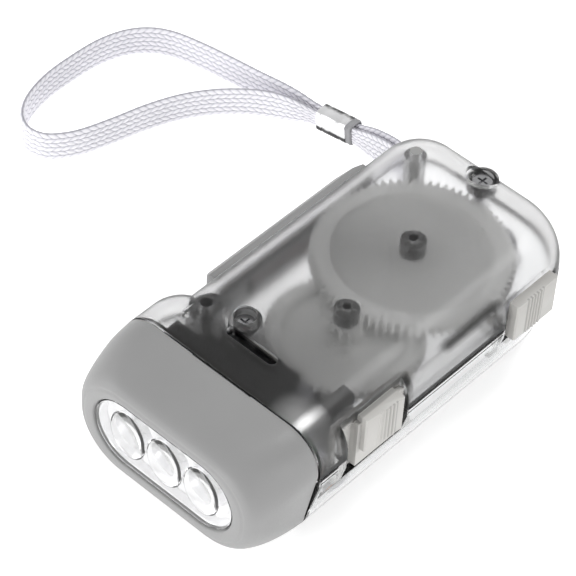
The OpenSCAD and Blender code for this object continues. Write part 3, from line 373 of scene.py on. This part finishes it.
def lens():
    """Window with a flange behind it; its back carries the domes."""
    front_w, front_r, soft = 17.4, 8, 0.3
    rings = [pill(*row) for row in ((LENS_BACK, 17.1, 7.7), (-45.85, 17.1, 7.7), (-45.85, 18.7, 9.3),
                                    (-46.85, 18.7, 9.3), (-46.85, front_w, front_r),
                                    (LENS_Y0 + soft, front_w, front_r))]
    for a in (math.radians(d) for d in (30, 60, 90)):
        cut = soft * (1 - math.cos(a))
        rings.append(pill(LENS_Y0 + soft * (1 - math.sin(a)), front_w - cut, front_r - cut))
    v, f = loops(rings, caps=False)
    n = len(rings[0])
    f.append(tuple(len(v) - n + k for k in range(n)))
    points, edges = [Vector((p[0], p[2])) for p in rings[0]], [(k, (k + 1) % n) for k in range(n)]
    for c in (-PITCH, 0, PITCH):
        for share, count in DOME_RINGS:
            start = len(points)
            for k in range(count):
                a = 2 * math.pi * k / count
                points.append(Vector((c + DOME_A * share * math.cos(a),
                                      LENS_Z + DOME_B * share * math.sin(a))))
            edges += [(start + k, start + (k + 1) % count) for k in range(count)]
        points.append(Vector((c, LENS_Z)))
    flat, _, cells = delaunay_2d_cdt(points, edges, [], 1, 1e-5)[:3]
    base = len(v)
    for q in flat:
        d = dome_share(q)
        rise = DOME_SAG * (1 - d * d) if d < 1 else -GROOVE * max(0.0, 1 - abs(d - GROOVE_AT) / GROOVE_HALF)
        v.append((q[0], LENS_BACK + rise, q[1]))
    f += [tuple(base + k for k in c) for c in cells]
    return piece("lens_block", v, f, "body", "lens", "lens", sharp=10)


def reflector_skirt():
    """Bright sleeve from the lens back to the reflector."""
    rings = [pill(LENS_BACK + 0.15, 17.0, 7.6), pill(-45.75, 17.0, 7.6), pill(-45.75, 16.7, 7.3),
             pill(LENS_BACK + 0.25, 16.9, 7.5)]
    v, f = loops(rings, closed_tube=True)
    return piece("reflector_skirt", v, f, "body", "reflector")


seam_shadow_o, tab_o, parting_o = seam_shadow(), snap_tab(), parting_line()
shade_flap_o, lens_o, skirt_o = shade_flap(), lens(), reflector_skirt()


# ---- materials ----
COAT_ROUGH = 0.27


def noise(nt, vector, scale, detail):
    """Factor socket of a noise texture."""
    n = nt.nodes.new("ShaderNodeTexNoise")
    n.inputs["Scale"].default_value, n.inputs["Detail"].default_value = scale, detail
    nt.links.new(vector, n.inputs["Vector"])
    return n.outputs["Fac"]


def ramp_of(nt, stops):
    """Colour ramp from pairs of place and tone; a tone is a grey number or three colours."""
    r = nt.nodes.new("ShaderNodeValToRGB")
    e = r.color_ramp.elements
    while len(e) < len(stops):
        e.new(0.5)
    for el, (at, c) in zip(e, stops):
        el.position, el.color = at, (*c, 1) if isinstance(c, tuple) else (c, c, c, 1)
    return r


def material(name, color, rough, metal=0.0, ior=1.5, trans=0.0, bump=0.0, scale=800, spec=0.5, coat=0.0,
             vary=0.0, sheen=0.0, rvary=0.0):
    """Surface with a fine grain in height or gloss (bump, rvary) and a cloudy change of tone (vary)."""
    m = bpy.data.materials.new(name)
    m.use_nodes = True
    nt = m.node_tree
    b = nt.nodes["Principled BSDF"]
    b.inputs["Base Color"].default_value = (*color, 1)
    b.inputs["Roughness"].default_value = rough
    b.inputs["Metallic"].default_value = metal
    b.inputs["IOR"].default_value = ior
    b.inputs["Transmission Weight"].default_value = trans
    b.inputs["Specular IOR Level"].default_value = spec
    b.inputs["Coat Weight"].default_value = coat
    b.inputs["Coat Roughness"].default_value = COAT_ROUGH
    if sheen:
        b.inputs["Sheen Weight"].default_value = sheen
        b.inputs["Sheen Roughness"].default_value = 0.5
    at = nt.nodes.new("ShaderNodeTexCoord").outputs["Object"]
    if bump or rvary:
        grain = noise(nt, at, scale, 6)
    if bump:
        bp = nt.nodes.new("ShaderNodeBump")
        bp.inputs["Strength"].default_value = bump
        bp.inputs["Distance"].default_value = 0.0002
        nt.links.new(grain, bp.inputs["Height"])
        nt.links.new(bp.outputs["Normal"], b.inputs["Normal"])
    if vary:
        r = ramp_of(nt, [(0.3, tuple(c * (1 - vary) for c in color)),
                         (0.7, tuple(min(1, c * (1 + vary)) for c in color))])
        nt.links.new(noise(nt, at, 60, 4), r.inputs["Fac"])
        nt.links.new(r.outputs["Color"], b.inputs["Base Color"])
    if rvary:
        mr = nt.nodes.new("ShaderNodeMapRange")
        mr.inputs["From Min"].default_value, mr.inputs["From Max"].default_value = 0.35, 0.65
        mr.inputs["To Min"].default_value = max(0, rough - rvary)
        mr.inputs["To Max"].default_value = min(1, rough + rvary)
        nt.links.new(grain, mr.inputs["Value"])
        nt.links.new(mr.outputs["Result"], b.inputs["Roughness"])
    return m


def nodes_of(m):
    """Node tree and surface node of a material."""
    return m.node_tree, m.node_tree.nodes["Principled BSDF"]


def absorb(m, density):
    """Darken a clear plastic with the way that light goes in it, per metre."""
    nt, _ = nodes_of(m)
    v = nt.nodes.new("ShaderNodeVolumeAbsorption")
    v.inputs["Color"].default_value = (0, 0, 0, 1)
    v.inputs["Density"].default_value = density
    nt.links.new(v.outputs["Volume"], nt.nodes["Material Output"].inputs["Volume"])
    return m


def tint(m, factor, stops):
    """Multiply the base colour by a ramp over a factor socket."""
    nt, b = nodes_of(m)
    r = ramp_of(nt, stops)
    nt.links.new(factor, r.inputs["Fac"])
    mix = nt.nodes.new("ShaderNodeMix")
    mix.data_type, mix.blend_type = "RGBA", "MULTIPLY"
    mix.inputs["Factor"].default_value = 1
    old = b.inputs["Base Color"].links
    if old:
        nt.links.new(old[0].from_socket, mix.inputs[6])
    else:
        mix.inputs[6].default_value = b.inputs["Base Color"].default_value
    nt.links.new(r.outputs["Color"], mix.inputs[7])
    nt.links.new(mix.outputs[2], b.inputs["Base Color"])
    return m


def steps(nt, start, *todo):
    """Chain of vector operations on a socket, each with its second input or None."""
    for op, value in todo:
        k = nt.nodes.new("ShaderNodeVectorMath")
        k.operation = op
        nt.links.new(start, k.inputs[0])
        if value is not None:
            k.inputs[1].default_value = value
        start = k.outputs["Value" if op == "LENGTH" else 0]
    return start


def radial(m, node, reach, stops):
    """Tone by the distance from the upright axis of a round CAD node, as a share of reach millimetres."""
    nt, _ = nodes_of(m)
    box = [Vector(c) for c in node.bound_box]
    k = 1 / (reach * MM)
    at = nt.nodes.new("ShaderNodeTexCoord").outputs["Object"]
    share = steps(nt, at, ("SUBTRACT", (box[0] + box[6]) / 2), ("MULTIPLY", (k, k, 0)), ("LENGTH", None))
    return tint(m, share, stops)


def zone(m, centre, half, soft):
    """Distance outside a box, all in millimetres, as a share of its soft edge."""
    nt, _ = nodes_of(m)
    at = nt.nodes.new("ShaderNodeTexCoord").outputs["Object"]
    return steps(nt, at, ("SUBTRACT", [c * MM for c in centre]), ("ABSOLUTE", None),
                 ("SUBTRACT", [h * MM for h in half]), ("MAXIMUM", (0, 0, 0)),
                 ("MULTIPLY", [1 / (r * MM) for r in soft]), ("LENGTH", None))


def spot(m, centre, half, soft, tone):
    """Painted shade: darken the base colour in a rounded box with a soft edge."""
    return tint(m, zone(m, centre, half, soft), tone)


def gloss(m, centre, half, soft, inside, outside):
    """Clear coat that is stronger in one zone."""
    nt, b = nodes_of(m)
    r = ramp_of(nt, [(0.0, inside), (1.0, outside)])
    nt.links.new(zone(m, centre, half, soft), r.inputs["Fac"])
    nt.links.new(r.outputs["Color"], b.inputs["Coat Weight"])


def glow(m, strength):
    """White light of its own, for the floor, and painted light in the lamp for the reflections that the
    renderer cuts short.
    """
    _, b = nodes_of(m)
    b.inputs["Emission Color"].default_value = (1, 1, 1, 1)
    b.inputs["Emission Strength"].default_value = strength
    return m


def paint_edge_reflections(m):
    """Painted dark reflections along the upper and lower edges of the ferrule."""
    nt, _ = nodes_of(m)
    a, k, add = (nt.nodes.new(t) for t in ("ShaderNodeAttribute", "ShaderNodeMath", "ShaderNodeMath"))
    a.attribute_name = "tall"
    k.operation, k.inputs[1].default_value, k.inputs[2].default_value = "MULTIPLY_ADD", 0.1, -0.05
    add.operation = "ADD"
    nt.links.new(noise(nt, nt.nodes.new("ShaderNodeTexCoord").outputs["Object"], 900, 2), k.inputs[0])
    nt.links.new(k.outputs[0], add.inputs[0])
    nt.links.new(a.outputs["Fac"], add.inputs[1])
    return tint(m, add.outputs[0], [(0.0, 0.5), (0.08, 0.03), (0.2, 0.05), (0.26, 1), (0.86, 1),
                                    (0.92, 0.1), (1.0, 0.1)])


def shade_stitch_gaps(m):
    """Painted shade in the gaps between the stitches of the band."""
    nt, _ = nodes_of(m)
    a = nt.nodes.new("ShaderNodeAttribute")
    a.attribute_name = "stitch"
    return tint(m, a.outputs["Fac"], [(0.0, (0.42, 0.42, 0.45)), (0.45, (0.9, 0.9, 0.92)), (0.8, 1)])


M = {
    "grey": material("grey_plastic", (0.3, 0.3, 0.3), 0.45, bump=0.12, scale=2600, vary=0.03, rvary=0.05),
    "knob": material("knob_plastic", (0.52, 0.51, 0.49), 0.4, bump=0.08, scale=2600, vary=0.03),
    "lock_knob": material("lock_plastic", (0.5, 0.49, 0.47), 0.4, bump=0.08, scale=2600, vary=0.03),
    "smoky": absorb(material("smoky_plastic", (0.97, 0.97, 0.97), 0.28, trans=0.982, ior=1.2, vary=0.015,
                             bump=0.03, scale=900, coat=0.8, spec=0.12), 50),
    "clear": absorb(material("clear_plastic", (0.97, 0.975, 0.98), 0.05, trans=1.0, ior=1.45, vary=0.01),
                    12),
    "lens": material("lens_plastic", (0.98, 0.98, 0.98), 0.02, trans=1.0, ior=1.45, vary=0.005),
    # the reflector and its sleeve glow faintly: painted light, with the lamp off
    "mirror": glow(material("metallised", (0.93, 0.93, 0.94), 0.2, metal=0.6, vary=0.02), 0.15),
    "ferrule_plate": paint_edge_reflections(material("ferrule_plate_painted_reflections", (0.95, 0.95, 0.96), 0.2, metal=0.6, vary=0.03, bump=0.05,
                              scale=1500)),
    "binding": material("bound_thread", (0.32, 0.32, 0.33), 0.8, vary=0.3, bump=0.4, scale=3000),
    "nickel": material("nickel_strip", (0.9, 0.9, 0.9), 0.35, metal=0.3, vary=0.04, bump=0.05, scale=1500),
    "screw": material("dark_plate", (0.5, 0.5, 0.51), 0.2, metal=1.0, vary=0.05, bump=0.05, scale=1500),
    "chrome": material("bright_plate", (0.82, 0.82, 0.83), 0.12, metal=1.0, vary=0.04, bump=0.05,
                       scale=1500),
    "steel": material("plain_steel", (0.32, 0.32, 0.34), 0.35, metal=1.0, vary=0.06, bump=0.1, scale=1800),
    "dark": material("dark_ferrite", (0.04, 0.04, 0.045), 0.5, vary=0.1, bump=0.1),
    "drive": radial(material("milky_drive", (0.92, 0.92, 0.91), 0.45, vary=0.02, bump=0.04),
                    NODES["drive_gear"], 20, [(0.0, 0.86), (0.22, 0.74), (0.72, 0.78), (0.81, 1)]),
    "milky": material("milky_acetal", (0.82, 0.82, 0.81), 0.45, vary=0.02, bump=0.04),
    # the milky plastic again for the strap's post, which carries a painted shade on its top
    "post": material("milky_post_shaded_top", (0.82, 0.82, 0.81), 0.45, vary=0.02, bump=0.04),
    "pin": material("pin_steel", (0.85, 0.85, 0.85), 0.4, metal=0.0, vary=0.06, bump=0.1, scale=1800),
    "board": material("solder_mask", (0.05, 0.16, 0.08), 0.35, vary=0.1),
    "led": material("led_epoxy", (0.97, 0.97, 0.98), 0.12, trans=0.25, ior=1.5, vary=0.01),
    "copper": material("enamelled_copper", (0.5, 0.2, 0.07), 0.3, metal=1.0, vary=0.1, bump=0.3,
                       scale=3000),
    "red": material("red_insulation", (0.5, 0.04, 0.03), 0.45, vary=0.05),
    "band": shade_stitch_gaps(material("woven_band", (0.92, 0.91, 0.95), 0.85, bump=0.35, scale=5200, vary=0.05,
                              sheen=0.3)),
    "black": material("black_plastic", (0.01, 0.01, 0.01), 0.6, vary=0.1, spec=0.2),
    "case": material("switch_case", (0.1, 0.1, 0.1), 0.5, vary=0.1),
    "glass": material("diode_glass", (0.6, 0.2, 0.06), 0.2, vary=0.1),
}
# painted shade: tones by the distance from a spot, its middle first, then out to where it ends
HOLE_SHADE = [(0.0, 0.04), (0.8, 0.08), (1.0, 1)]
BOSS_SHADE = [(0.0, 0.3), (0.85, 0.35), (1.0, 1)]
SHADE = [(0.0, 0.12), (0.5, 0.55), (1.0, 1)]
WALL_SHADE = [(0.0, 0.1), (0.5, 0.3), (1.0, 1)]
SLOT_SHADE = [(0.0, 0.36), (0.8, 0.42), (1.0, 1)]
FRONT_SHADE = [(0.0, 0.55), (1.0, 1)]
STREAK_SHADE = [(0.0, 0.1), (0.4, 0.2), (1.0, 1)]
# the lid: glossier by the right end of the head, for the highlight there, and painted shade in its depth: in
# the slot and the screw wells, over the bosses, on the walls of the switch pocket, a painted dark streak
# along the right side, and over the front, darkest by the head
gloss(M["smoky"], (17, -31.4, 26), (1.5, 0.8, 1.5), (5, 4.5, 5), 1.0, 0.03)
nodes_of(M["smoky"])[1].inputs["Coat IOR"].default_value = 2.5
LID = (  # middle, half size and soft edge in millimetres, tone
    ((-1, -24.7, 24.6), (4.9, 0, 1.5), (1.5, 1.5, 0.5), SLOT_SHADE),
    ((-7, -20, 24.6), (0, 0, 1.6), (3.3, 3.3, 0.5), HOLE_SHADE),  # painted shade in the two screw wells
    ((0, 40.2, 24), (0, 0, 2.2), (3.3, 3.3, 0.5), HOLE_SHADE),
    ((1.6, 17.6, 23.4), (0, 0, 1.4), (3.3, 3.3, 0.6), BOSS_SHADE),  # painted shade over the bosses of the large and the small gear
    ((4.5, -4.7, 23.4), (0, 0, 1.4), (3.3, 3.3, 0.6), BOSS_SHADE),
    ((23, -17.4, 23.8), (0.4, 9, 0.3), (1.2, 1.2, 1.1), WALL_SHADE),  # painted shade on top, front and rear of the switch pocket
    ((23, -26.8, 20), (0.5, 0.1, 3.2), (1.2, 0.9, 1.4), WALL_SHADE),
    ((23, -8.4, 20), (0.5, 0.1, 3.2), (1.2, 0.9, 1.4), WALL_SHADE),
    ((22.3, 10.5, 23.2), (0.5, 6.5, 0.4), (1.1, 3, 1.1), STREAK_SHADE),
    ((3, -22, 24.6), (9, 4, 0.6), (11, 15, 0.6), FRONT_SHADE),
    ((-2, -28.5, 24.6), (10, 3.2, 0.6), (6.5, 5.5, 0.6), SHADE))
for row in LID:
    spot(M["smoky"], *row)
# painted shade in the grooves between the ridges of each knob
RIDGE, GROOVES = 0.9, 6
for name, y in (("knob", -18.0), ("lock_knob", 24.3)):
    for k in range(GROOVES):
        spot(M[name], (25.65, y + RIDGE * (k - 0.5), 19), (0.3, 0.1, 8), (0.2, 0.18, 1),
             [(0.0, 0.68), (0.6, 0.78), (1.0, 1)])
# painted shade on the left of the large gear and on the top of the strap's post, and the power knob's
# painted shadow on its plate
spot(M["drive"], (-13, 4, 20), (5, 7, 4), (11, 14, 3), [(0.0, 0.72), (1.0, 1)])
spot(M["post"], (-13.3, 35.4, 27.2), (3, 3, 0.2), (1, 1, 0.4), [(0.0, 0.2), (1.0, 1)])
spot(M["knob"], (23, -16.65, 19.6), (0.3, 4.6, 4.3), (0.35, 1.2, 1.2), [(0.0, 0.62), (1.0, 1)])
LOOK = {
    "bottom_shell": "clear", "top_shell": "smoky", "lens": "lens", "reflector": "mirror", "leds": "led",
    "circuit_board": "board", "diodes": "glass", "slide_switch": "case", "switch_stem": "black",
    "power_switch": "knob", "lock_slide": "lock_knob", "squeeze_lever": "grey", "lever_pivot_pin": "pin",
    "lever_spring": "steel", "drive_gear": "drive", "drive_axle": "pin", "step_gear": "milky",
    "step_axle": "pin", "clutch_pinion": "steel", "clutch_pawls": "steel", "flywheel": "steel",
    "magnet_ring": "dark", "rotor_axle": "steel", "stator_core": "steel", "coil_bobbin": "milky",
    "coil_winding": "copper", "button_cells": "steel", "cell_contacts": "nickel", "lead_wires": "red",
    "shell_screws": "screw", "strap_pin": "post", "strap_ferrule": "chrome", "head_bezel": "grey",
    "wrist_strap": "band", "board_cover": "black",
}


def paint(o, key):
    """Give a piece or node the one material."""
    o.data.materials.clear()
    o.data.materials.append(M[key])


def soften_group():
    """Welded CAD meshes shade smooth except along sharp edges."""
    g = bpy.data.node_groups.new("soften", "GeometryNodeTree")
    g.interface.new_socket("Geometry", in_out="INPUT", socket_type="NodeSocketGeometry")
    g.interface.new_socket("Geometry", in_out="OUTPUT", socket_type="NodeSocketGeometry")
    i, o = g.nodes.new("NodeGroupInput"), g.nodes.new("NodeGroupOutput")
    f = g.nodes.new("GeometryNodeSetShadeSmooth")
    e = g.nodes.new("GeometryNodeSetShadeSmooth")
    e.domain = "EDGE"
    a = g.nodes.new("GeometryNodeInputMeshEdgeAngle")
    c = g.nodes.new("FunctionNodeCompare")
    c.data_type, c.operation = "FLOAT", "LESS_EQUAL"
    c.inputs["B"].default_value = math.radians(SHARP)
    g.links.new(i.outputs[0], f.inputs["Geometry"])
    g.links.new(f.outputs[0], e.inputs["Geometry"])
    g.links.new(a.outputs["Unsigned Angle"], c.inputs["A"])
    g.links.new(c.outputs["Result"], e.inputs["Shade Smooth"])
    g.links.new(e.outputs[0], o.inputs[0])
    return g


SOFT, WELD = soften_group(), 2e-6
for name, o in NODES.items():
    paint(o, LOOK[name])
    o.modifiers.new("weld", "WELD").merge_threshold = WELD
    o.modifiers.new("soften", "NODES").node_group = SOFT
for o, key in ((band, "band"), (ferrule_o, "ferrule_plate"), (collar_o, "binding"), (head_o, "grey"),
               (seam_shadow_o, "black"), (tab_o, "smoky"), (parting_o, "black"), (shade_flap_o, "black"),
               (lens_o, "lens"), (skirt_o, "mirror")):
    paint(o, key)


def round_edges(o, width):
    """Small rounded edges on a CAD node, for its highlights."""
    d = o.modifiers.new("flat", "DECIMATE")
    d.decimate_type, d.angle_limit = "DISSOLVE", math.radians(1)
    b = o.modifiers.new("edges", "BEVEL")
    b.width, b.segments, b.limit_method, b.angle_limit = width * MM, 2, "ANGLE", math.radians(50)
    b.use_clamp_overlap = True
    o.modifiers.move(o.modifiers.find("soften"), len(o.modifiers) - 1)


for name, width in (("power_switch", 0.3), ("lock_slide", 0.25), ("squeeze_lever", 0.4)):
    round_edges(NODES[name], width)

# ---- floor and light ----
fl = bpy.data.meshes.new("floor")
FLOOR, FLOOR_Z = 3, -0.0002  # half size and height of the floor, in metres
fl.from_pydata([(x * FLOOR, y * FLOOR, FLOOR_Z) for x, y in ((-1, -1), (1, -1), (1, 1), (-1, 1))], [],
               [(0, 1, 2, 3)])
floor = bpy.data.objects.new("floor", fl)
S.collection.objects.link(floor)
fl.materials.append(glow(material("floor", (0.8, 0.8, 0.8), 0.9, spec=0.0, vary=0.005), 0.6))

# a white tent: bright low down, greyer overhead
world = bpy.data.worlds.new("studio")
S.world = world
world.use_nodes = True
wt = world.node_tree
tc = wt.nodes.new("ShaderNodeTexCoord")
sep = wt.nodes.new("ShaderNodeSeparateXYZ")
ramp = ramp_of(wt, [(0.15, 1), (0.8, 0.5)])
wt.links.new(tc.outputs["Generated"], sep.inputs["Vector"])
wt.links.new(sep.outputs["Z"], ramp.inputs["Fac"])
wt.links.new(ramp.outputs["Color"], wt.nodes["Background"].inputs["Color"])
wt.nodes["Background"].inputs["Strength"].default_value = 0.75


LIGHT_AWAY = 0.9


def softbox(name, az, el, size, power, inside=True):
    """Square light aimed at the origin; without inside it does not shine through the plastic."""
    la = bpy.data.lights.new(name, "AREA")
    la.shape, la.size, la.energy = "SQUARE", size, power
    o = bpy.data.objects.new(name, la)
    a, e = math.radians(az), math.radians(el)
    d = Vector((math.sin(a) * math.cos(e), -math.cos(a) * math.cos(e), math.sin(e)))
    o.location = d * LIGHT_AWAY
    o.rotation_euler = d.to_track_quat("Z", "Y").to_euler()
    S.collection.objects.link(o)
    o.visible_transmission = inside


softbox("key", -45, 24, 0.5, 2.2)
softbox("front", 4, 8, 0.5, 3.2)
softbox("rear", 182, 57, 0.36, 3, inside=False)
softbox("side", 95, 20, 0.4, 1.2)
